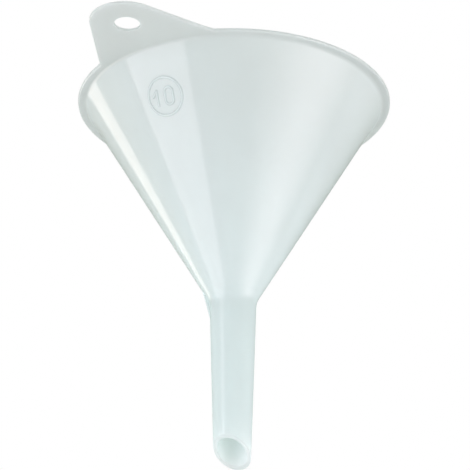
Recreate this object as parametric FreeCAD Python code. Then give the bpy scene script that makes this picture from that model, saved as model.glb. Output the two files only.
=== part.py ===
import FreeCAD, Part
import math
import os

# A conical laboratory funnel of natural polypropylene, mouth up, in millimetres.
# The real funnel is one injection moulding. Its moulded features are separate solids here,
# and they meet face to face: cone, rim flange, hanging tab, stem, vent rib and size mark.
# The origin is on the funnel's axis, in the neck plane, where the outside of the cone meets
# the outside of the stem. +Z points up through the mouth, and the hanging tab points along -Y.

# ---------------------------------------------------------------- driving dimensions
RIM_RADIUS = 50.0             # outside of the rim flange: a 100 mm funnel
RIM_THICKNESS = 1.0
RIM_EDGE_ROUND = 0.5          # round on the lower outer edge of the rim and the tab
FLANGE_ROOT_RADIUS = 48.9     # where the flange leaves the cone's own wall
CONE_HALF_ANGLE = 30.0
CONE_MOUTH_RADIUS = 47.35     # outside of the cone at the underside of the rim
NECK_RADIUS = 7.35            # outside of the cone at the neck plane
WALL = 1.2
UNDER_RIM_FILLET = 2.5
LIP_ROUND = 0.4               # inner edge of the mouth
NECK_OUTER_FILLET = 8.6
NECK_INNER_FILLET = 9.8
NECK_SKIRT = 3.0              # length of straight stem that belongs to the cone's solid

STEM_LENGTH = 51.5            # neck plane to the middle of the slanted cut
STEM_TIP_RADIUS = 5.86        # outside, at the middle of the cut
TIP_CUT_ANGLE = 32.6          # from horizontal, high on the tab's side

TAB_CENTRE = 61.9             # funnel axis to the centre of the tab's round end and of its hole
TAB_END_RADIUS = 11.8
TAB_BASE_HALF_ANGLE = 25.2    # where the tab's straight sides leave the rim
TAB_SPLIT_MARGIN = 1.5        # the tab's solid runs this far, in degrees, into the rim
TAB_RISE = 0.07               # slope of the tab, which bends up slightly from the rim
HOLE_RADIUS = 4.05

RIB_AZIMUTH = 204.0
RIB_THICKNESS = 1.1
RIB_TOP_Z = 4.0               # where the rib's edge leaves the cone
RIB_BOTTOM_Z = -5.9           # where it runs out on the stem

MARK_AZIMUTH = -90.9
MARK_FROM_APEX = 78.6         # along the cone's outer surface
MARK_TURN = 6.0               # degrees clockwise from upright
MARK_RELIEF = 0.3
MARK_RING_RADIUS = 6.5
MARK_STROKE = 0.95
DIGIT_FOOT = -3.2             # the line both numerals stand on
DIGIT_ONE_X = -2.7
DIGIT_ONE_HEIGHT = 5.7
DIGIT_ONE_FLAG = (-1.5, 1.8)  # how far the flag reaches to the left and down
DIGIT_ZERO_X = 1.5
DIGIT_ZERO_WIDTH = 3.8
DIGIT_ZERO_HEIGHT = 6.4

# ---------------------------------------------------------------- derived sizes
SLOPE = math.tan(math.radians(CONE_HALF_ANGLE))
COS_HALF = math.cos(math.radians(CONE_HALF_ANGLE))
SIN_HALF = math.sin(math.radians(CONE_HALF_ANGLE))
RIM_UNDERSIDE = (CONE_MOUTH_RADIUS - NECK_RADIUS) / SLOPE
RIM_TOP = RIM_UNDERSIDE + RIM_THICKNESS
APEX_Z = -NECK_RADIUS / SLOPE
STEM_TAPER = (NECK_RADIUS - STEM_TIP_RADIUS) / STEM_LENGTH
CLEARANCE = 20.0              # how far the cutting tools reach past the part

vec = FreeCAD.Vector
UP = vec(0, 0, 1)


def cone_outer(z):
    return NECK_RADIUS + z * SLOPE


def cone_inner(z):
    return cone_outer(z) - WALL / COS_HALF


def stem_outer(z):
    return NECK_RADIUS + z * STEM_TAPER


def stem_inner(z):
    return stem_outer(z) - WALL


def inner_neck_z():
    """Height at which the inside of the cone meets the bore."""
    return (WALL / COS_HALF - WALL) / (SLOPE - STEM_TAPER)


# ---------------------------------------------------------------- helpers
def rounded_profile(corners):
    """Closed face in the XZ plane from corners (radius, z, round), with tangent arcs."""
    places = [vec(r, 0, z) for r, z, _ in corners]
    count = len(corners)
    joins = []
    for i, here in enumerate(places):
        back = places[i - 1].sub(here)
        ahead = places[(i + 1) % count].sub(here)
        turn = back.getAngle(ahead)
        size = corners[i][2]
        if size == 0:
            joins.append((here, None, here))
            continue
        back.normalize()
        ahead.normalize()
        reach = size / math.tan(turn / 2)
        start = here.add(vec(back).multiply(reach))
        end = here.add(vec(ahead).multiply(reach))
        bisector = back.add(ahead)
        bisector.normalize()
        middle = here.add(bisector.multiply(size / math.sin(turn / 2) - size))
        joins.append((start, middle, end))
    edges = []
    for i, (start, middle, end) in enumerate(joins):
        if middle is not None:
            edges.append(Part.Arc(start, middle, end).toShape())
        following = joins[(i + 1) % count][0]
        edges.append(Part.LineSegment(end, following).toShape())
    return Part.Face(Part.Wire(edges))


def turned(face):
    return face.revolve(vec(0, 0, 0), UP, 360)


def polygon(points):
    return Part.Face(Part.makePolygon(points + points[:1]))


def capsule(start, end, radius):
    """Flat stroke with round ends from one point to another, both in the XY plane."""
    along = end.sub(start)
    side = vec(-along.y, along.x, 0)
    side.normalize()
    side.multiply(radius)
    along.normalize()
    along.multiply(radius)
    a, b = start.add(side), end.add(side)
    c, d = end.sub(side), start.sub(side)
    edges = [
        Part.LineSegment(a, b).toShape(),
        Part.Arc(b, end.add(along), c).toShape(),
        Part.LineSegment(c, d).toShape(),
        Part.Arc(d, start.sub(along), a).toShape(),
    ]
    return Part.Face(Part.Wire(edges))


def polar(radius, degrees, z=0.0):
    turn = math.radians(degrees)
    return vec(radius * math.cos(turn), radius * math.sin(turn), z)


# ---------------------------------------------------------------- cone
def make_cone():
    """Conical wall with its neck fillets, down to the skirt that the stem carries on from."""
    bottom = -NECK_SKIRT
    neck_z = inner_neck_z()
    return turned(rounded_profile([
        (stem_outer(bottom), bottom, 0),
        (NECK_RADIUS, 0, NECK_OUTER_FILLET),
        (CONE_MOUTH_RADIUS, RIM_UNDERSIDE, UNDER_RIM_FILLET),
        (FLANGE_ROOT_RADIUS, RIM_UNDERSIDE, 0),
        (FLANGE_ROOT_RADIUS, RIM_TOP, 0),
        (cone_inner(RIM_TOP), RIM_TOP, LIP_ROUND),
        (cone_inner(neck_z), neck_z, NECK_INNER_FILLET),
        (stem_inner(bottom), bottom, 0),
    ]))


# ---------------------------------------------------------------- stem
def make_stem():
    """Tapered tube below the neck, cut off on a slant."""
    below = -STEM_LENGTH - CLEARANCE
    tube = turned(rounded_profile([
        (stem_outer(-NECK_SKIRT), -NECK_SKIRT, 0),
        (stem_inner(-NECK_SKIRT), -NECK_SKIRT, 0),
        (stem_inner(below), below, 0),
        (stem_outer(below), below, 0),
    ]))
    rise = CLEARANCE * math.tan(math.radians(TIP_CUT_ANGLE))
    floor = below - CLEARANCE
    waste = polygon([
        vec(-CLEARANCE, -CLEARANCE, rise - STEM_LENGTH),
        vec(-CLEARANCE, CLEARANCE, -rise - STEM_LENGTH),
        vec(-CLEARANCE, CLEARANCE, floor),
        vec(-CLEARANCE, -CLEARANCE, floor),
    ]).extrude(vec(2 * CLEARANCE, 0, 0))
    return tube.cut(waste)


# ---------------------------------------------------------------- rim flange and tab
def tab_outline():
    """Tab seen from above: two straight sides from the rim, tangent to a round end."""
    centre = vec(0, -TAB_CENTRE, RIM_UNDERSIDE)
    corners = []
    touches = []
    for side in (-1, 1):
        corner = polar(RIM_RADIUS, -90 + side * TAB_BASE_HALF_ANGLE, RIM_UNDERSIDE)
        away = centre.sub(corner)
        lean = math.asin(TAB_END_RADIUS / away.Length)
        heading = math.atan2(away.y, away.x) + side * lean
        reach = math.sqrt(away.Length ** 2 - TAB_END_RADIUS ** 2)
        corners.append(corner)
        touches.append(corner.add(vec(reach * math.cos(heading), reach * math.sin(heading), 0)))
    roots = [polar(FLANGE_ROOT_RADIUS, -90 + side * TAB_BASE_HALF_ANGLE, RIM_UNDERSIDE)
             for side in (-1, 1)]
    end = centre.add(vec(0, -TAB_END_RADIUS, 0))
    inside = vec(0, -FLANGE_ROOT_RADIUS, RIM_UNDERSIDE)
    edges = [
        Part.LineSegment(roots[0], corners[0]).toShape(),
        Part.LineSegment(corners[0], touches[0]).toShape(),
        Part.Arc(touches[0], end, touches[1]).toShape(),
        Part.LineSegment(touches[1], corners[1]).toShape(),
        Part.LineSegment(corners[1], roots[1]).toShape(),
        Part.Arc(roots[1], inside, roots[0]).toShape(),
    ]
    return Part.Face(Part.Wire(edges))


def tab_rise(reach):
    """How far the tab has risen above the rim's plane at this distance from the axis."""
    return max(0, reach - FLANGE_ROOT_RADIUS) * TAB_RISE


def tab_slab():
    """The tab's side view: flat as far as the rim's root, then rising, as wide as the rim."""
    end = TAB_CENTRE + TAB_END_RADIUS + CLEARANCE
    side = -RIM_RADIUS
    return polygon([
        vec(side, 0, RIM_UNDERSIDE),
        vec(side, -FLANGE_ROOT_RADIUS, RIM_UNDERSIDE),
        vec(side, -end, RIM_UNDERSIDE + tab_rise(end)),
        vec(side, -end, RIM_TOP + tab_rise(end)),
        vec(side, -FLANGE_ROOT_RADIUS, RIM_TOP),
        vec(side, 0, RIM_TOP),
    ]).extrude(vec(2 * RIM_RADIUS, 0, 0))


def sector(half_angle):
    """Tall wedge about the tab's direction, from the axis to well past the tab."""
    reach = 2 * RIM_RADIUS
    base = RIM_UNDERSIDE - CLEARANCE
    return polygon([
        vec(0, 0, base),
        polar(reach, -90 - half_angle, base),
        polar(reach, -90 + half_angle, base),
    ]).extrude(vec(0, 0, 2 * CLEARANCE))


def is_lower_outer(edge):
    """True for the edges of the underside that bound the plate on the outside."""
    middle = edge.valueAt((edge.FirstParameter + edge.LastParameter) / 2)
    points = [vertex.Point for vertex in edge.Vertexes] + [middle]
    return all(
        math.hypot(point.x, point.y) > RIM_RADIUS - 0.01
        and point.z < RIM_UNDERSIDE + tab_rise(-point.y) + RIM_THICKNESS / 4
        for point in points
    )


def make_rim_and_tab():
    """Flat flange round the mouth, and the tab that grows out of it and rises slightly."""
    disc = Part.makeCylinder(RIM_RADIUS, RIM_THICKNESS, vec(0, 0, RIM_UNDERSIDE))
    inner = Part.makeCylinder(FLANGE_ROOT_RADIUS, RIM_THICKNESS, vec(0, 0, RIM_UNDERSIDE))
    block = tab_outline().extrude(vec(0, 0, 2 * CLEARANCE))
    block.translate(vec(0, 0, -CLEARANCE))
    tab = block.common(tab_slab())
    ring = disc.cut(inner).cut(sector(TAB_BASE_HALF_ANGLE))
    plate = ring.fuse(tab).removeSplitter()
    plate = plate.makeFillet(RIM_EDGE_ROUND, [edge for edge in plate.Edges if is_lower_outer(edge)])

    square_to_tab = vec(0, TAB_RISE, 1)
    square_to_tab.normalize()
    centre = vec(0, -TAB_CENTRE, RIM_UNDERSIDE + RIM_THICKNESS / 2 + tab_rise(TAB_CENTRE))
    start = centre.sub(vec(square_to_tab).multiply(CLEARANCE))
    plate = plate.cut(Part.makeCylinder(HOLE_RADIUS, 2 * CLEARANCE, start, square_to_tab))

    wedge = sector(TAB_BASE_HALF_ANGLE + TAB_SPLIT_MARGIN)
    return plate.cut(wedge), plate.common(wedge)


# ---------------------------------------------------------------- vent rib
def make_vent_rib(wall):
    """Thin web in the corner between cone and stem, which keeps an air gap in a bottle neck."""
    sunk = WALL / 2
    plate = Part.Face(Part.makePolygon([
        vec(cone_outer(RIB_TOP_Z), 0, RIB_TOP_Z),
        vec(stem_outer(RIB_BOTTOM_Z), 0, RIB_BOTTOM_Z),
        vec(stem_outer(RIB_BOTTOM_Z) - sunk, 0, RIB_BOTTOM_Z),
        vec(NECK_RADIUS - sunk, 0, 0),
        vec(cone_outer(RIB_TOP_Z) - sunk, 0, RIB_TOP_Z),
        vec(cone_outer(RIB_TOP_Z), 0, RIB_TOP_Z),
    ])).extrude(vec(0, RIB_THICKNESS, 0))
    plate.translate(vec(0, -RIB_THICKNESS / 2, 0))
    plate.rotate(vec(0, 0, 0), UP, RIB_AZIMUTH)
    return largest_solid(plate.cut(wall))


def largest_solid(shape):
    return max(shape.Solids, key=lambda solid: solid.Volume)


# ---------------------------------------------------------------- size mark
def mark_placement():
    """Flat frame of the size mark: X to the right, Y up the cone's slope, Z out of the wall."""
    outwards = polar(COS_HALF, MARK_AZIMUTH, -SIN_HALF)
    upslope = polar(SIN_HALF, MARK_AZIMUTH, COS_HALF)
    right = upslope.cross(outwards)
    centre = vec(0, 0, APEX_Z).add(vec(upslope).multiply(MARK_FROM_APEX))
    upright = FreeCAD.Rotation(right, upslope, outwards, "ZXY")
    turned_mark = FreeCAD.Rotation(outwards, -MARK_TURN).multiply(upright)
    return FreeCAD.Placement(centre, turned_mark)


def relief_shell():
    """Thin conical layer that lies on the outside of the cone, as thick as the raised mark."""
    low, high = RIM_UNDERSIDE / 2, RIM_UNDERSIDE - UNDER_RIM_FILLET
    step = MARK_RELIEF / COS_HALF
    place = vec(0, 0, low)
    raised = Part.makeCone(cone_outer(low) + step, cone_outer(high) + step, high - low, place)
    plain = Part.makeCone(cone_outer(low), cone_outer(high), high - low, place)
    return raised.cut(plain)


def raised_on_cone(face, shell):
    """The flat outline set on the cone's surface, as a solid of the relief's height."""
    depth = 4 * WALL
    block = face.extrude(vec(0, 0, depth))
    block.translate(vec(0, 0, -depth / 2))
    block.Placement = mark_placement().multiply(block.Placement)
    return largest_solid(block.common(shell))


def ring_face():
    outer = Part.Face(Part.Wire(Part.makeCircle(MARK_RING_RADIUS)))
    inner = Part.Face(Part.Wire(Part.makeCircle(MARK_RING_RADIUS - MARK_STROKE)))
    return outer.cut(inner)


def one_face():
    half_stroke = MARK_STROKE / 2
    top = vec(DIGIT_ONE_X, DIGIT_FOOT + DIGIT_ONE_HEIGHT - half_stroke, 0)
    foot = vec(DIGIT_ONE_X, DIGIT_FOOT + half_stroke, 0)
    flag = top.add(vec(DIGIT_ONE_FLAG[0], -DIGIT_ONE_FLAG[1], 0))
    upright = capsule(foot, top, half_stroke)
    return upright.fuse(capsule(flag, top, half_stroke)).removeSplitter()


def zero_face():
    outer = DIGIT_ZERO_WIDTH / 2
    foot = vec(DIGIT_ZERO_X, DIGIT_FOOT + outer, 0)
    top = vec(DIGIT_ZERO_X, DIGIT_FOOT + DIGIT_ZERO_HEIGHT - outer, 0)
    return capsule(foot, top, outer).cut(capsule(foot, top, outer - MARK_STROKE))


# ---------------------------------------------------------------- build and write
cone = make_cone()
stem = make_stem()
rim_flange, hanging_tab = make_rim_and_tab()
shell = relief_shell()

nodes = {
    "cone": cone,
    "rim_flange": rim_flange,
    "hanging_tab": hanging_tab,
    "stem": stem,
    "vent_rib": make_vent_rib(cone.fuse(stem)),
    "size_ring": raised_on_cone(ring_face(), shell),
    "size_digit_one": raised_on_cone(one_face(), shell),
    "size_digit_zero": raised_on_cone(zero_face(), shell),
}

os.makedirs("parts", exist_ok=True)
for name, shape in nodes.items():
    solid = largest_solid(shape)
    if len(shape.Solids) != 1 or not solid.isValid():
        raise RuntimeError(f"{name} is not one valid solid: {len(shape.Solids)}")
    solid.exportStep(f"parts/{name}.step")
    print(f"{name}: {solid.Volume:.1f} mm3, z {solid.BoundBox.ZMin:.2f} to {solid.BoundBox.ZMax:.2f}")
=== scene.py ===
import math

import bmesh
import bpy
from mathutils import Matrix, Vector


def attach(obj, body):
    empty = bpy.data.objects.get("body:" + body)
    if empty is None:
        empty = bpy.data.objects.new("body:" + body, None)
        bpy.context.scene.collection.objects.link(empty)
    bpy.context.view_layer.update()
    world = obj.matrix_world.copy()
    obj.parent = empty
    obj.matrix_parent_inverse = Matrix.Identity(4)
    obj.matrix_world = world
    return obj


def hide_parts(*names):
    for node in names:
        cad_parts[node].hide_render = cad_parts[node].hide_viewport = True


# A conical laboratory funnel of natural polypropylene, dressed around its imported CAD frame.
# Lengths named here are in millimetres, and MM turns them into Blender's metres. The frame's
# origin is on the funnel's axis in the neck plane, +Z up through the mouth, the tab along -Y.

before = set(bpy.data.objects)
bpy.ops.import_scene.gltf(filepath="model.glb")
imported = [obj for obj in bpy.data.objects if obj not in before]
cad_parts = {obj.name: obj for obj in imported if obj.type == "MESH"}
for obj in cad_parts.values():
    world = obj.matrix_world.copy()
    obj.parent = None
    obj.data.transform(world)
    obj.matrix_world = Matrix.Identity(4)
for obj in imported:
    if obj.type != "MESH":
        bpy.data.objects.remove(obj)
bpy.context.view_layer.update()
MM = 0.001

# ---------------------------------------------------------------- sizes of the moulding
RIM_RADIUS = 50.0
RIM_THICKNESS = 1.0
RIM_LOWER_ROUND = 0.5         # height of the soft lower outer edge of the rim and the tab
RIM_ROUND_WIDE = 0.5          # how far in that edge starts on the rim
TAB_ROUND_WIDE = 1.6          # and on the tab
CRISP_ROUND = 0.12            # what a moulded sharp edge really has
FLANGE_ROOT_RADIUS = 48.9
CONE_MOUTH_RADIUS = 47.35     # outside of the cone at the underside of the rim
NECK_RADIUS = 7.35
WALL = 1.2
UNDER_RIM_FILLET = 1.5
LIP_ROUND = 0.4
NECK_OUTER_FILLET = 8.6
NECK_INNER_FILLET = 9.8
NECK_SKIRT = 3.0
STEM_LENGTH = 51.5
STEM_TIP_RADIUS = 5.86
TIP_CUT_SLOPE = math.tan(math.radians(32.6))

TAB_CENTRE = 61.9             # the centre of the round end and of the hole
TAB_END_RADIUS = 11.8
TAB_BASE_HALF_ANGLE = 25.2
TAB_SPLIT_MARGIN = 1.5
TAB_RISE = 0.07               # slope of the tab, which bends up slightly from the rim
HOLE_RADIUS = 4.05

RIB_AZIMUTH = 204.0
RIB_THICKNESS = 1.1
RIB_TOP_Z = 4.0
RIB_BOTTOM_Z = -5.9
RIB_ROUND = 0.3

MARK_AZIMUTH = -90.9
MARK_FROM_APEX = 78.6
MARK_TURN = math.radians(6)   # clockwise from upright
MARK_RELIEF = 0.3
MARK_RING_RADIUS = 6.5        # outside of the ring
MARK_STROKE = 0.95
DIGIT_FOOT = -3.2             # the line both numerals stand on
DIGIT_ONE_X = -2.7
DIGIT_ONE_HEIGHT = 5.7
DIGIT_ONE_FLAG = (-1.5, 1.8)
DIGIT_ZERO_X = 1.5
DIGIT_ZERO_WIDTH = 3.8
DIGIT_ZERO_HEIGHT = 6.4

TURN_STEPS = 256              # faces round the axis
CUT_ROUND_SHARES = (0.3, 1.0)  # where the points of the cut's softened edges are along them
SOFT_EDGE_STEPS = 8
ARC_STEP = math.radians(9)    # finest turn between two faces of a rounded edge
RING_SPACING = 3.0            # along straight walls
TAB_END_STEPS = 64            # round the tab's end
TAB_MARGIN_STEPS = 3          # along each short stretch of rim beside the tab
TAB_ROOT_STEPS = 48           # along the arc where the tab meets the cone
TAB_BLEND_STEPS = 12          # points over which the soft edge widens from rim to tab
HOLE_STEPS = 72
RIB_STEPS = 24                # down the rib
MARK_RING_STEPS = 160
HALF_TURN_STEPS = 32          # round each half circle of the zero
STROKE_END_STEPS = 12         # round each end of the one
MITRE_LIMIT = 0.3             # keeps an offset corner from running away

SLOPE = math.tan(math.radians(30))
COS_HALF = math.cos(math.radians(30))
SIN_HALF = math.sin(math.radians(30))
RIM_UNDERSIDE = (CONE_MOUTH_RADIUS - NECK_RADIUS) / SLOPE
RIM_TOP = RIM_UNDERSIDE + RIM_THICKNESS
APEX_Z = -NECK_RADIUS / SLOPE
STEM_TAPER = (NECK_RADIUS - STEM_TIP_RADIUS) / STEM_LENGTH


def cone_outer(z):
    return NECK_RADIUS + z * SLOPE


def cone_inner(z):
    return cone_outer(z) - WALL / COS_HALF


def stem_outer(z):
    return NECK_RADIUS + z * STEM_TAPER


def stem_inner(z):
    return stem_outer(z) - WALL


def inner_neck_z():
    """Height at which the inside of the cone meets the bore."""
    return (WALL / COS_HALF - WALL) / (SLOPE - STEM_TAPER)


def tab_rise(y):
    """How far the tab has risen above the rim's plane at this place along it."""
    return max(0, -y - FLANGE_ROOT_RADIUS) * TAB_RISE


def polar(radius, degrees, z=0.0):
    turn = math.radians(degrees)
    return Vector((radius * math.cos(turn), radius * math.sin(turn), z))


# ---------------------------------------------------------------- mesh helpers
# the materials that a face can have
SKIN, INSIDE, CUT, EDGE, MARK_SIDE = range(5)


def arc(centre, radius, first, last, steps):
    return [centre + radius * Vector((math.cos(a), math.sin(a)))
            for a in (first + (last - first) * i / steps for i in range(steps + 1))]


def rounded_loop(corners, closed=True):
    """Points along a line through corners (x, y, round), each rounded by a tangent arc.

    A corner with no round is a hard edge. Each point comes as (x, y, hard)."""
    places = [Vector((x, y)) for x, y, _ in corners]
    count = len(corners)
    points = []
    for i, here in enumerate(places):
        size = corners[i][2]
        is_end = not closed and i in (0, count - 1)
        if size == 0 or is_end:
            points.append((here.x, here.y, not is_end))
            continue
        back = (places[i - 1] - here).normalized()
        ahead = (places[(i + 1) % count] - here).normalized()
        half = back.angle(ahead) / 2
        centre = here + (back + ahead).normalized() * (size / math.sin(half))
        start = here + back * (size / math.tan(half)) - centre
        sweep = math.pi - 2 * half
        turn = math.copysign(1, -back.x * ahead.y + back.y * ahead.x)
        steps = max(3, math.ceil(sweep / ARC_STEP))
        for step in range(steps + 1):
            angle = turn * sweep * step / steps
            cos, sin = math.cos(angle), math.sin(angle)
            points.append((centre.x + start.x * cos - start.y * sin,
                           centre.y + start.x * sin + start.y * cos, False))
    return points


def subdivided(points, spacing):
    """The same closed loop with extra points on its long straight stretches."""
    result = []
    for point, following in zip(points, points[1:] + points[:1]):
        result.append(point)
        length = math.hypot(following[0] - point[0], following[1] - point[1])
        parts = math.ceil(length / spacing)
        for part in range(1, parts):
            share = part / parts
            result.append((point[0] + (following[0] - point[0]) * share,
                           point[1] + (following[1] - point[1]) * share, False))
    return result


def inward_normals(points, closed=False):
    """Normals to the left of a line, mitred so that offsets along them keep their width."""
    count = len(points)
    normals = []
    for i, here in enumerate(points):
        sides = []
        if closed or i > 0:
            sides.append(here - points[i - 1])
        if closed or i < count - 1:
            sides.append(points[(i + 1) % count] - here)
        sides = [Vector((-side.y, side.x)).normalized() for side in sides]
        middle = (sides[0] + sides[-1]).normalized()
        normals.append(middle / max(MITRE_LIMIT, middle.dot(sides[0])))
    return normals


def finish_mesh(name, bm, hard_edges=(), joints=()):
    """One smooth-shaded piece from bm, in metres, with flats that shade flat."""
    for lies_in_joint in joints:
        mark_joints(bm, lies_in_joint)
    for edge in hard_edges:
        edge.smooth = False
    bmesh.ops.recalc_face_normals(bm, faces=bm.faces)
    for face in bm.faces:
        face.smooth = True
    mesh = bpy.data.meshes.new(name)
    bm.to_mesh(mesh)
    bm.free()
    piece = bpy.data.objects.new(name, mesh)
    bpy.context.scene.collection.objects.link(piece)
    shading = piece.modifiers.new("even_flats", "WEIGHTED_NORMAL")
    shading.keep_sharp = True
    shading.weight = 100
    return piece


def mark_joints(bm, lies_in_joint):
    """Marks the faces inside the plastic, where two pieces of the one moulding meet."""
    for face in bm.faces:
        if all(lies_in_joint(vert.co / MM) for vert in face.verts):
            face.material_index = INSIDE


def near(value, target):
    return abs(value - target) < 1e-3


def at_skirt(point):
    return near(point.z, -NECK_SKIRT)


def at_flange_root(point):
    return near(math.hypot(point.x, point.y), FLANGE_ROOT_RADIUS)


def at_tab_end(point):
    """In one of the two upright planes where the tab's stretch of rim stops."""
    half = math.radians(TAB_BASE_HALF_ANGLE + TAB_SPLIT_MARGIN)
    return near(abs(point.x) * math.cos(half) + point.y * math.sin(half), 0)


def edge_between(a, b):
    return next(edge for edge in a.link_edges if b in edge.verts)


def edges_round(loop):
    return [edge_between(loop[i], loop[(i + 1) % len(loop)]) for i in range(len(loop))]


def join_rings(bm, rings, hard, closed_sweep=True, finish=None):
    """Quads between neighbouring rings. hard says which profile points are hard edges.

    finish gives the material of the strip that starts at each profile point."""
    hard_edges = []
    sweep = len(rings) if closed_sweep else len(rings) - 1
    around = len(rings[0])
    for i in range(sweep):
        here, following = rings[i], rings[(i + 1) % len(rings)]
        for j in range(around):
            k = (j + 1) % around
            face = bm.faces.new((here[j], here[k], following[k], following[j]))
            face.material_index = finish[j] if finish else SKIN
        hard_edges += [edge_between(here[j], following[j]) for j in range(around) if hard[j]]
    return hard_edges


def lathed(name, profile, joints, first_degrees=0.0, last_degrees=360.0, finish=None):
    """Closed profile of (radius, z, hard) turned round the axis, with flat ends if it's open."""
    bm = bmesh.new()
    whole = last_degrees - first_degrees >= 360
    steps = round(TURN_STEPS * (last_degrees - first_degrees) / 360)
    count = steps if whole else steps + 1
    rings = []
    for i in range(count):
        degrees = first_degrees + (last_degrees - first_degrees) * i / steps
        rings.append([bm.verts.new(polar(r, degrees, z) * MM) for r, z, _ in profile])
    hard = [is_hard for _, _, is_hard in profile]
    hard_edges = join_rings(bm, rings, hard, closed_sweep=whole, finish=finish)
    if not whole:
        for end in (rings[0], rings[-1]):
            face = bm.faces.new(end)
            face.material_index = INSIDE
            hard_edges += face.edges[:]
    return finish_mesh(name, bm, hard_edges, joints)


# ---------------------------------------------------------------- cone
def make_cone():
    """Conical wall with its neck fillets, down to the skirt that the stem carries on from."""
    bottom = -NECK_SKIRT
    neck_z = inner_neck_z()
    profile = rounded_loop([
        (stem_outer(bottom), bottom, 0),
        (NECK_RADIUS, 0, NECK_OUTER_FILLET),
        (CONE_MOUTH_RADIUS, RIM_UNDERSIDE, UNDER_RIM_FILLET),
        (FLANGE_ROOT_RADIUS, RIM_UNDERSIDE, 0),
        (FLANGE_ROOT_RADIUS, RIM_TOP, 0),
        (cone_inner(RIM_TOP), RIM_TOP, LIP_ROUND),
        (cone_inner(neck_z), neck_z, NECK_INNER_FILLET),
        (stem_inner(bottom), bottom, 0),
    ])
    return lathed("funnel_cone", subdivided(profile, RING_SPACING), (at_skirt, at_flange_root))


# ---------------------------------------------------------------- stem
def on_the_cut(radius_at, sine, lift):
    """Radius and height where a wall of the stem meets the slanted cut, raised by lift."""
    height = ((lift - STEM_LENGTH - TIP_CUT_SLOPE * sine * radius_at(0))
              / (1 + TIP_CUT_SLOPE * sine * STEM_TAPER))
    return radius_at(height), height


def make_stem():
    """Tapered tube below the neck, cut off on a slant, with slightly softened cut edges."""
    top = -NECK_SKIRT
    rows = math.ceil(STEM_LENGTH / RING_SPACING)
    bm = bmesh.new()
    rings = []
    hard = []
    for i in range(TURN_STEPS):
        degrees = 360 * i / TURN_STEPS
        sine = math.sin(math.radians(degrees))
        outer_r, outer_z = on_the_cut(stem_outer, sine, CRISP_ROUND)
        inner_r, inner_z = on_the_cut(stem_inner, sine, CRISP_ROUND)
        line = []
        for row in range(rows + 1):
            z = top + (outer_z - top) * row / rows
            line.append((stem_outer(z), z, row == 0))
        for share in CUT_ROUND_SHARES:
            radius, z = on_the_cut(stem_outer, sine, CRISP_ROUND * (1 - share) ** 2)
            inset = CRISP_ROUND * share ** 2
            line.append((radius - inset, z + inset * TIP_CUT_SLOPE * sine, False))
        for share in reversed(CUT_ROUND_SHARES):
            radius, z = on_the_cut(stem_inner, sine, CRISP_ROUND * (1 - share) ** 2)
            inset = CRISP_ROUND * share ** 2
            line.append((radius + inset, z - inset * TIP_CUT_SLOPE * sine, False))
        for row in range(rows, -1, -1):
            z = top + (inner_z - top) * row / rows
            line.append((stem_inner(z), z, row == 0))
        rings.append([bm.verts.new(polar(r, degrees, z) * MM) for r, z, _ in line])
        hard = [is_hard for _, _, is_hard in line]
    finish = [SKIN] * len(hard)
    cut_strips = 2 * len(CUT_ROUND_SHARES) + 1          # the cut and its two softened edges
    finish[rows:rows + cut_strips] = [CUT] * cut_strips
    hard_edges = join_rings(bm, rings, hard, finish=finish)
    return finish_mesh("funnel_stem", bm, hard_edges, (at_skirt,))


# ---------------------------------------------------------------- rim flange and tab
def soft_edge(wide):
    """Inset, height and material of the free edge, from the underside up to the top."""
    line = []
    for step in range(SOFT_EDGE_STEPS + 1):
        turn = math.pi / 2 * step / SOFT_EDGE_STEPS
        rise = RIM_LOWER_ROUND * (1 - math.cos(turn))
        line.append((wide * (1 - math.sin(turn)), RIM_UNDERSIDE + rise, SKIN))
    line[-1] = line[-1][:2] + (EDGE,)
    crisp = rounded_loop([(0, RIM_UNDERSIDE, 0), (0, RIM_TOP, CRISP_ROUND),
                          (1, RIM_TOP, 0)], closed=False)[1:-1]
    return line + [(inset, z, SKIN) for inset, z, _ in crisp]


def make_rim_flange():
    """The flat flange round the mouth, except the stretch that the tab takes over."""
    edge = soft_edge(RIM_ROUND_WIDE)
    profile = [(FLANGE_ROOT_RADIUS, RIM_UNDERSIDE, True)]
    profile += [(RIM_RADIUS - inset, z, False) for inset, z, _ in edge]
    profile += [(FLANGE_ROOT_RADIUS, RIM_TOP, True)]
    finish = [SKIN] + [kind for _, _, kind in edge] + [INSIDE]
    half = TAB_BASE_HALF_ANGLE + TAB_SPLIT_MARGIN
    return lathed("funnel_rim", profile, (), -90 + half, 270 - half, finish)


def tab_free_edge():
    """The tab's outline from above, from one end of its stretch of rim to the other."""
    centre = Vector((0, -TAB_CENTRE))
    corner = polar(RIM_RADIUS, -90 - TAB_BASE_HALF_ANGLE).to_2d()
    away = centre - corner
    lean = math.asin(TAB_END_RADIUS / away.length)
    side = math.atan2(away.y, away.x) - lean
    points = []
    for i in range(TAB_MARGIN_STEPS + 1):
        beyond = TAB_SPLIT_MARGIN * (1 - i / TAB_MARGIN_STEPS)
        points.append(polar(RIM_RADIUS, -90 - TAB_BASE_HALF_ANGLE - beyond).to_2d())
    reach = math.sqrt(away.length ** 2 - TAB_END_RADIUS ** 2)
    touch = corner + reach * Vector((math.cos(side), math.sin(side)))
    rows = math.ceil(reach / RING_SPACING)
    points += [corner.lerp(touch, row / rows) for row in range(1, rows)]
    mirrored = [Vector((-p.x, p.y)) for p in reversed(points)]
    start = math.atan2(touch.y - centre.y, touch.x - centre.x)
    sweep = 2 * (-math.pi / 2 - start) % (2 * math.pi)
    return points + arc(centre, TAB_END_RADIUS, start, start + sweep, TAB_END_STEPS) + mirrored


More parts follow.
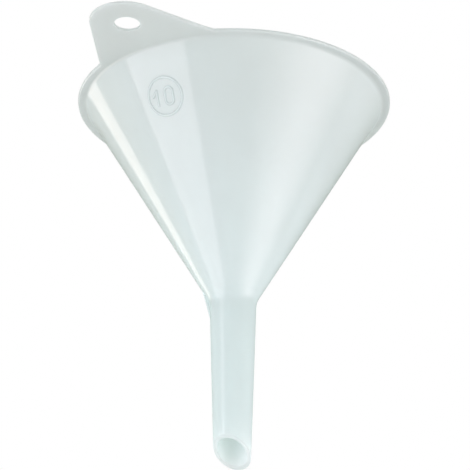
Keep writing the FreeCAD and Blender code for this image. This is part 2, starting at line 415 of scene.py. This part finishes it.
def tab_outer_loops(bm, free, root):
    """Loops up the tab's edge, and the index of the one where its upright wall starts.

    The soft lower edge is as narrow as the rim's at both ends and widens along the tab."""
    normals = inward_normals(free)
    normals[0], normals[-1] = -free[0].normalized(), -free[-1].normalized()
    last = len(free) - 1
    widths = []
    for i in range(len(free)):
        share = min(1, i / TAB_BLEND_STEPS, (last - i) / TAB_BLEND_STEPS)
        widths.append((RIM_ROUND_WIDE + (TAB_ROUND_WIDE - RIM_ROUND_WIDE) * share) / TAB_ROUND_WIDE)
    section = soft_edge(TAB_ROUND_WIDE)
    loops = []
    for inset, z, _ in section:
        outer = [p + n * inset * width for p, n, width in zip(free, normals, widths)]
        loops.append([bm.verts.new(Vector((p.x, p.y, z + tab_rise(p.y))) * MM)
                      for p in outer + root])
    return loops, [kind for _, _, kind in section].index(EDGE)


def tab_hole_loops(bm):
    """Loops up the wall of the tab's round hole, which is square to the tab."""
    section = rounded_loop([
        (HOLE_RADIUS + 1, RIM_UNDERSIDE, 0),
        (HOLE_RADIUS, RIM_UNDERSIDE, CRISP_ROUND),
        (HOLE_RADIUS, RIM_TOP, CRISP_ROUND),
        (HOLE_RADIUS + 1, RIM_TOP, 0),
    ], closed=False)[1:-1]
    loops = []
    for radius, z, _ in section:
        shift = (z - RIM_UNDERSIDE - RIM_THICKNESS / 2) * TAB_RISE
        ring = [polar(radius, 360 * i / HOLE_STEPS, z) + Vector((0, shift - TAB_CENTRE, 0))
                for i in range(HOLE_STEPS)]
        loops.append([bm.verts.new((p + Vector((0, 0, tab_rise(p.y)))) * MM) for p in ring])
    return loops


def make_tab():
    """The flat hanging tab, with its hole and its short stretches of rim."""
    half = TAB_BASE_HALF_ANGLE + TAB_SPLIT_MARGIN
    free = tab_free_edge()
    root = [polar(FLANGE_ROOT_RADIUS, -90 + half - 2 * half * i / TAB_ROOT_STEPS).to_2d()
            for i in range(TAB_ROOT_STEPS + 1)]
    bm = bmesh.new()
    loops, wall = tab_outer_loops(bm, free, root)
    count = len(loops[0])
    hard_edges = join_rings(bm, loops, [False] * count, closed_sweep=False)
    for i in range(len(free) - 1):
        quad = {*loops[wall][i:i + 2], *loops[wall + 1][i:i + 2]}
        face = next(f for f in loops[wall][i].link_faces if set(f.verts) == quad)
        face.material_index = EDGE
    corners = (0, len(free) - 1, len(free), count - 1)
    for lower, upper in zip(loops, loops[1:]):
        hard_edges += [edge_between(lower[i], upper[i]) for i in corners]
    hole_loops = tab_hole_loops(bm)
    join_rings(bm, hole_loops, [False] * HOLE_STEPS, closed_sweep=False)
    for outer, inner in ((loops[0], hole_loops[0]), (loops[-1], hole_loops[-1])):
        bmesh.ops.triangle_fill(bm, edges=edges_round(outer) + edges_round(inner),
                                use_beauty=True)
        hard_edges += edges_round(outer)[len(free) - 1:]
    return finish_mesh("funnel_tab", bm, hard_edges, (at_flange_root, at_tab_end))


# ---------------------------------------------------------------- neck rib
def make_rib():
    """Thin web in the corner between cone and stem, with a rounded outer edge."""
    half = RIB_THICKNESS / 2
    sunk = WALL / 2
    bm = bmesh.new()
    rings = []
    for row in range(RIB_STEPS + 1):
        share = row / RIB_STEPS
        z = RIB_TOP_Z + (RIB_BOTTOM_Z - RIB_TOP_Z) * share
        edge = (cone_outer(RIB_TOP_Z)
                + (stem_outer(RIB_BOTTOM_Z) - cone_outer(RIB_TOP_Z)) * share)
        root = (cone_outer(z) if z > 0 else stem_outer(z)) - sunk
        section = [(root, -half, True)]
        section += rounded_loop([(root, -half, 0), (edge, -half, RIB_ROUND),
                                 (edge, half, RIB_ROUND), (root, half, 0)], closed=False)[1:-1]
        section += [(root, half, True)]
        turn = math.radians(RIB_AZIMUTH)
        cos, sin = math.cos(turn), math.sin(turn)
        rings.append([bm.verts.new(Vector((x * cos - y * sin, x * sin + y * cos, z)) * MM)
                      for x, y, _ in section])
    hard = [i in (0, len(rings[0]) - 1) for i in range(len(rings[0]))]
    hard_edges = join_rings(bm, rings, hard, closed_sweep=False)
    for end in (rings[0], rings[-1]):
        hard_edges += bm.faces.new(end).edges[:]
    return finish_mesh("funnel_rib", bm, hard_edges)


# ---------------------------------------------------------------- size mark
MARK_OUT = polar(COS_HALF, MARK_AZIMUTH, -SIN_HALF)
UPSLOPE = polar(SIN_HALF, MARK_AZIMUTH, COS_HALF)
ALONG_RIM = UPSLOPE.cross(MARK_OUT)
MARK_CENTRE = Vector((0, 0, APEX_Z)) + UPSLOPE * MARK_FROM_APEX
MARK_RIGHT = ALONG_RIM * math.cos(MARK_TURN) - UPSLOPE * math.sin(MARK_TURN)
MARK_UP = ALONG_RIM * math.sin(MARK_TURN) + UPSLOPE * math.cos(MARK_TURN)

# how far a raised stroke is inset from its outline, and how high it stands there
RELIEF_SECTION = [(-0.06, -0.2), (0.0, 0.0), (0.1, 0.14), (0.2, 0.225), (0.34, 0.285)]


def on_cone(x, y, height):
    """The point over (x, y) of the mark's plane that stands height proud of the wall."""
    point = MARK_CENTRE + MARK_RIGHT * x + MARK_UP * y
    for _ in range(6):            # the wall curves, so the point settles in a few steps
        proud = (math.hypot(point.x, point.y) - cone_outer(point.z)) * COS_HALF
        point = point + MARK_OUT * (height - proud)
    return point * MM


def raised_band(name, centre_line):
    """Raised stroke of constant width along a closed line of (x, y) points."""
    half = MARK_STROKE / 2
    left = [(half - inset, height) for inset, height in RELIEF_SECTION]
    section = left + [(0.0, MARK_RELIEF)] + [(-u, height) for u, height in reversed(left)]
    count = len(centre_line)
    bm = bmesh.new()
    rings = []
    for i, here in enumerate(centre_line):
        along = centre_line[(i + 1) % count] - centre_line[i - 1]
        across = Vector((-along.y, along.x)).normalized()
        places = [here + across * u for u, _ in section]
        rings.append([bm.verts.new(on_cone(p.x, p.y, height))
                      for p, (_, height) in zip(places, section)])
    hard = [i in (0, len(section) - 1) for i in range(len(section))]
    side = [MARK_SIDE] * (len(left) - 1)
    finish = side + [SKIN, SKIN] + side + [INSIDE]
    return finish_mesh(name, bm, join_rings(bm, rings, hard, finish=finish))


def make_mark_ring():
    middle = MARK_RING_RADIUS - MARK_STROKE / 2
    line = arc(Vector((0, 0)), middle, 0, 2 * math.pi, MARK_RING_STEPS)[:-1]
    return raised_band("funnel_mark_ring", line)


def make_mark_zero():
    """A narrow zero: two straight sides and two half circles."""
    radius = (DIGIT_ZERO_WIDTH - MARK_STROKE) / 2
    foot = Vector((DIGIT_ZERO_X, DIGIT_FOOT + DIGIT_ZERO_WIDTH / 2))
    top = Vector((DIGIT_ZERO_X, DIGIT_FOOT + DIGIT_ZERO_HEIGHT - DIGIT_ZERO_WIDTH / 2))
    line = arc(top, radius, 0, math.pi, HALF_TURN_STEPS)
    line += arc(foot, radius, math.pi, 2 * math.pi, HALF_TURN_STEPS)
    return raised_band("funnel_mark_zero", line)


def mark_one_outline():
    """Counterclockwise outline of an upright with a short flag, both with round ends."""
    half = MARK_STROKE / 2
    top = Vector((DIGIT_ONE_X, DIGIT_FOOT + DIGIT_ONE_HEIGHT - half))
    foot = Vector((DIGIT_ONE_X, DIGIT_FOOT + half))
    flag = top + Vector((DIGIT_ONE_FLAG[0], -DIGIT_ONE_FLAG[1]))
    lean = math.atan2(flag.y - top.y, flag.x - top.x)      # towards the flag's end
    slope = math.tan(lean)
    left = DIGIT_ONE_X - half
    below = Vector((math.cos(lean + math.pi / 2), math.sin(lean + math.pi / 2))) * half
    crook_y = (flag + below).y + slope * (left - (flag + below).x)
    outline = arc(foot, half, -math.pi, 0, STROKE_END_STEPS)
    outline += arc(top, half, 0, lean + 3 * math.pi / 2, STROKE_END_STEPS)
    outline += arc(flag, half, lean - math.pi / 2, lean + math.pi / 2, STROKE_END_STEPS)
    outline.append(Vector((left, crook_y)))
    return outline


def make_mark_one():
    outline = mark_one_outline()
    inward = inward_normals(outline, closed=True)
    count = len(outline)
    bm = bmesh.new()
    loops = []
    for inset, height in RELIEF_SECTION:
        places = [p + n * inset for p, n in zip(outline, inward)]
        loops.append([bm.verts.new(on_cone(p.x, p.y, height)) for p in places])
    join_rings(bm, loops, [False] * count, closed_sweep=False, finish=[MARK_SIDE] * count)
    for loop, finish in ((loops[0], INSIDE), (loops[-1], SKIN)):
        filled = bmesh.ops.triangle_fill(bm, edges=edges_round(loop), use_beauty=True)["geom"]
        for face in filled:
            if isinstance(face, bmesh.types.BMFace):
                face.material_index = finish
    return finish_mesh("funnel_mark_one", bm, edges_round(loops[0]))


# ---------------------------------------------------------------- material
PP_FRONT = (0.87, 0.95, 0.95, 1)
PP_BACK = (0.898, 0.968, 0.966, 1)    # of the light that comes through from behind
PP_SHEER = 0.6                # share of the light that goes on through each face
PP_ROUGHNESS = 0.09
PP_ROUGHNESS_RANGE = (-0.03, 0.05)    # what the grain adds to the roughness
PP_IOR = 1.95
CLOUD_SHADE = 0.98            # how dark the faint clouds are
CLOUD_SCALE = 55              # features per metre, as the next two
GRAIN_SCALE = 1400
SWELL_SCALE = 70
GRAIN_DEPTH = 0.004           # height of the skin's fine grain
SWELL_DEPTH = 0.04            # and of its broad waves
BUMP_STRENGTH = 0.5
CUT_PAINTED_SHADE = 0.9          # painted shade: a darker copy of the plastic on the cut end of the stem
EDGE_PAINTED_SHADE = 0.97        # painted shade on the free edge of the rim and tab
MARK_SIDE_PAINTED_SHADE = 0.88   # painted shade on the steep sides of the mark
EDGE_ROUGHNESS = 0.45


def add(tree, kind, **inputs):
    """A shader node with some of its inputs set, by name with _ for a space."""
    node = tree.nodes.new(kind)
    for name, value in inputs.items():
        node.inputs[name.replace("_", " ")].default_value = value
    return node


def noise(tree, place, scale, detail):
    """Noise in object space, scale in features per metre."""
    node = add(tree, "ShaderNodeTexNoise", Scale=scale, Detail=detail, Roughness=0.55)
    tree.links.new(place, node.inputs["Vector"])
    return node.outputs["Fac"]


def spread(tree, value, low, high, from_low=0.3, from_high=0.7):
    """Low to high over a range of the value, by default the middle range of a noise."""
    node = add(tree, "ShaderNodeMapRange")
    node.inputs["From Min"].default_value = from_low
    node.inputs["From Max"].default_value = from_high
    node.inputs["To Min"].default_value = low
    node.inputs["To Max"].default_value = high
    tree.links.new(value, node.inputs["Value"])
    return node.outputs["Result"]


def mixed(tree, amount, first, second):
    """From the first colour, which may be a linked one, to the second as amount goes to 1."""
    node = tree.nodes.new("ShaderNodeMix")
    node.data_type = "RGBA"
    tree.links.new(amount, node.inputs["Factor"])
    if isinstance(first, bpy.types.NodeSocket):
        tree.links.new(first, node.inputs[6])
    else:
        node.inputs[6].default_value = first
    node.inputs[7].default_value = second
    return node.outputs[2]


def bumped(tree, height, depth, below=None):
    node = add(tree, "ShaderNodeBump", Strength=BUMP_STRENGTH, Distance=depth * MM)
    tree.links.new(height, node.inputs["Height"])
    if below is not None:
        tree.links.new(below, node.inputs["Normal"])
    return node.outputs["Normal"]


def darker(colour, share):
    return tuple(c * share for c in colour[:3]) + (1,)


def polypropylene(name, painted_shade_factor=1.0, roughness=PP_ROUGHNESS):
    """Natural polypropylene: milky and sheer, faintly cloudy, with a satin, slightly wavy skin."""
    # below 1 this darkens the whole copy of the plastic: painted shade
    front, back = darker(PP_FRONT, painted_shade_factor), darker(PP_BACK, painted_shade_factor)
    material = bpy.data.materials.new(name)
    material.use_nodes = True
    tree = material.node_tree
    tree.nodes.clear()
    place = tree.nodes.new("ShaderNodeTexCoord").outputs["Object"]

    clouds = spread(tree, noise(tree, place, CLOUD_SCALE, 4), 0, 1)
    grain = noise(tree, place, GRAIN_SCALE, 2)
    swell = noise(tree, place, SWELL_SCALE, 1)

    skin = add(tree, "ShaderNodeBsdfPrincipled", IOR=PP_IOR)
    tree.links.new(mixed(tree, clouds, front, darker(front, CLOUD_SHADE)),
                   skin.inputs["Base Color"])
    smoothest, roughest = (roughness + change for change in PP_ROUGHNESS_RANGE)
    tree.links.new(spread(tree, grain, smoothest, roughest), skin.inputs["Roughness"])
    wavy = bumped(tree, swell, SWELL_DEPTH)
    tree.links.new(bumped(tree, grain, GRAIN_DEPTH, wavy), skin.inputs["Normal"])

    glow = add(tree, "ShaderNodeBsdfTranslucent")
    tree.links.new(mixed(tree, clouds, back, darker(back, CLOUD_SHADE)), glow.inputs["Color"])

    mix = add(tree, "ShaderNodeMixShader", Fac=PP_SHEER)
    tree.links.new(skin.outputs[0], mix.inputs[1])
    tree.links.new(glow.outputs[0], mix.inputs[2])
    out = tree.nodes.new("ShaderNodeOutputMaterial")
    tree.links.new(mix.outputs[0], out.inputs["Surface"])
    return material


def joint_inside():
    """Where two pieces are really one moulding, light goes from one to the other unchanged."""
    material = bpy.data.materials.new("inside_the_plastic")
    material.use_nodes = True
    tree = material.node_tree
    tree.nodes.clear()
    clear = add(tree, "ShaderNodeBsdfTransparent", Color=(1, 1, 1, 1))
    out = tree.nodes.new("ShaderNodeOutputMaterial")
    tree.links.new(clear.outputs[0], out.inputs["Surface"])
    return material


# ---------------------------------------------------------------- room, light and camera
FLOOR_DROP = 1.1              # metres: the funnel is seen from below, so the floor is far down
FLOOR_SIZE = 12.0
FLOOR_PAINT = (0.88, 0.89, 0.92, 1)
FLOOR_WASH = (0.275, 0.285, 0.31, 1)  # a glow that stands for lamps that light only the floor

VIEW_AZIMUTH = 32.46          # degrees, from -Y towards +X
VIEW_ELEVATION = -26.05
VIEW_DISTANCE = 1.3442        # metres, from VIEW_AIM
VIEW_AIM = (0.00043, 0.00027, 0.02321)
VIEW_ROLL = 0.275
LENS = 325.7                  # millimetres of focal length

ROOM_WALLS = (1.04, 1.0, 1.05, 1)      # light from the room, apart from its darker parts
ROOM_PATCHES = [
    # darker parts behind, left and above: the azimuth and elevation of each, the cosines
    # from there where it starts and where it is full, and its light
    (-160, 55, 0.3, 0.8, (0.34, 0.36, 0.26, 1)),
    (-115, -15, 0.45, 0.85, (0.50, 0.50, 0.38, 1)),
    (0, 90, 0.05, 0.5, (0.22, 0.20, 0.15, 1)),
]

LAMP_AIM = Vector((0, 0, 0.02))       # metres, and so is the distance
LAMP_DISTANCE = 1.0
SOFTBOXES = [
    # name, azimuth, elevation, width and height in degrees, radiance, colour
    ("left_box", -32, -17, 46, 62, 2.2, (1.0, 0.91, 0.97)),
    ("left_tail", -24, 18, 20, 8, 1.6, (1.0, 0.91, 0.97)),
    ("right_wide", 99, -20, 76, 56, 0.7, (0.98, 0.87, 0.90)),
    ("right_box", 100, -20, 56, 56, 0.8, (0.98, 0.87, 0.90)),
    ("right_core", 101, -20, 38, 56, 0.8, (0.98, 0.87, 0.90)),
    ("right_heart", 102, -20, 20, 56, 0.5, (0.98, 0.87, 0.90)),
    ("edge_strip", -99, -22, 16, 66, 3.0, (1.0, 0.86, 0.80)),
    ("edge_line", -107, -22, 2, 66, 3.0, (1.0, 0.95, 0.92)),
]


def heading(azimuth, elevation):
    """Unit vector at a view azimuth (from -Y towards +X) and elevation, in degrees."""
    a, e = math.radians(azimuth), math.radians(elevation)
    return Vector((math.sin(a) * math.cos(e), -math.cos(a) * math.cos(e), math.sin(e)))


def make_floor():
    mesh = bpy.data.meshes.new("studio_floor")
    half = FLOOR_SIZE / 2
    corners = [(-half, -half), (half, -half), (half, half), (-half, half)]
    mesh.from_pydata([(x, y, -FLOOR_DROP) for x, y in corners], [], [(0, 1, 2, 3)])
    floor = bpy.data.objects.new("studio_floor", mesh)
    bpy.context.scene.collection.objects.link(floor)
    paint = bpy.data.materials.new("floor_paint")
    paint.use_nodes = True
    shader = paint.node_tree.nodes["Principled BSDF"]
    shader.inputs["Base Color"].default_value = FLOOR_PAINT
    shader.inputs["Emission Color"].default_value = FLOOR_WASH
    shader.inputs["Emission Strength"].default_value = 1.0
    shader.inputs["Roughness"].default_value = 0.9
    mesh.materials.append(paint)


def make_softbox(name, azimuth, elevation, wide, high, radiance, colour):
    """Rectangular lamp that faces the funnel and covers wide by high degrees of its sky."""
    lamp = bpy.data.lights.new(name, "AREA")
    lamp.shape = "RECTANGLE"
    lamp.size = 2 * LAMP_DISTANCE * math.tan(math.radians(wide / 2))
    lamp.size_y = 2 * LAMP_DISTANCE * math.tan(math.radians(high / 2))
    lamp.energy = radiance * math.pi * lamp.size * lamp.size_y
    lamp.color = colour
    box = bpy.data.objects.new(name, lamp)
    bpy.context.scene.collection.objects.link(box)
    away = heading(azimuth, elevation)
    box.location = LAMP_AIM + away * LAMP_DISTANCE
    box.rotation_euler = away.to_track_quat("Z", "Y").to_euler()


def facing(tree, direction, target, from_low, from_high):
    """0 to 1 as a direction turns towards the target one, by the cosine between them."""
    dot = tree.nodes.new("ShaderNodeVectorMath")
    dot.operation = "DOT_PRODUCT"
    tree.links.new(direction, dot.inputs[0])
    dot.inputs[1].default_value = target
    return spread(tree, dot.outputs["Value"], 0, 1, from_low, from_high)


def make_room_light():
    """White surround for the camera, and a grey room, dim above and behind, for the funnel."""
    world = bpy.data.worlds.new("studio")
    bpy.context.scene.world = world
    world.use_nodes = True
    tree = world.node_tree
    tree.nodes.clear()
    direction = tree.nodes.new("ShaderNodeTexCoord").outputs["Generated"]
    room = ROOM_WALLS
    for azimuth, elevation, starts, full, light in ROOM_PATCHES:
        amount = facing(tree, direction, heading(azimuth, elevation), starts, full)
        room = mixed(tree, amount, room, light)
    lit = add(tree, "ShaderNodeBackground", Strength=1.0)
    tree.links.new(room, lit.inputs["Color"])
    seen = add(tree, "ShaderNodeBackground", Color=(1, 1, 1, 1), Strength=1.0)
    path = tree.nodes.new("ShaderNodeLightPath")
    mix = tree.nodes.new("ShaderNodeMixShader")
    tree.links.new(path.outputs["Is Camera Ray"], mix.inputs["Fac"])
    tree.links.new(lit.outputs[0], mix.inputs[1])
    tree.links.new(seen.outputs[0], mix.inputs[2])
    out = tree.nodes.new("ShaderNodeOutputWorld")
    tree.links.new(mix.outputs[0], out.inputs["Surface"])


def make_camera():
    lens = bpy.data.cameras.new("camera")
    lens.lens = LENS
    lens.clip_end = 100
    camera = bpy.data.objects.new("camera", lens)
    bpy.context.scene.collection.objects.link(camera)
    away = heading(VIEW_AZIMUTH, VIEW_ELEVATION)
    camera.location = Vector(VIEW_AIM) + away * VIEW_DISTANCE
    camera.rotation_euler = away.to_track_quat("Z", "Y").to_euler()
    camera.rotation_euler.rotate_axis("Z", math.radians(VIEW_ROLL))
    bpy.context.scene.camera = camera


# ---------------------------------------------------------------- put together
PIECES = [
    (make_cone(), "cone"),
    (make_rim_flange(), "rim_flange"),
    (make_tab(), "hanging_tab"),
    (make_stem(), "stem"),
    (make_rib(), "vent_rib"),
    (make_mark_ring(), "size_ring"),
    (make_mark_one(), "size_digit_one"),
    (make_mark_zero(), "size_digit_zero"),
]

# the cut, edge and mark-side finishes are darker copies of the plastic: painted shade
finishes = {SKIN: polypropylene("natural_polypropylene"),
            INSIDE: joint_inside(),
            CUT: polypropylene("natural_polypropylene_rough_cut_painted_shade", CUT_PAINTED_SHADE, EDGE_ROUGHNESS),
            EDGE: polypropylene("natural_polypropylene_rough_edge_painted_shade", EDGE_PAINTED_SHADE, EDGE_ROUGHNESS),
            MARK_SIDE: polypropylene("natural_polypropylene_mark_side_painted_shade", MARK_SIDE_PAINTED_SHADE)}
for piece, node in PIECES:
    for number in range(1 + max(face.material_index for face in piece.data.polygons)):
        piece.data.materials.append(finishes[number])
    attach(piece, "root")
    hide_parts(node)

make_camera()
make_floor()
make_room_light()
for softbox in SOFTBOXES:
    make_softbox(*softbox)

scene = bpy.context.scene
scene.view_settings.view_transform = "Standard"
scene.cycles.max_bounces = 24
scene.cycles.diffuse_bounces = 12
scene.cycles.transmission_bounces = 16
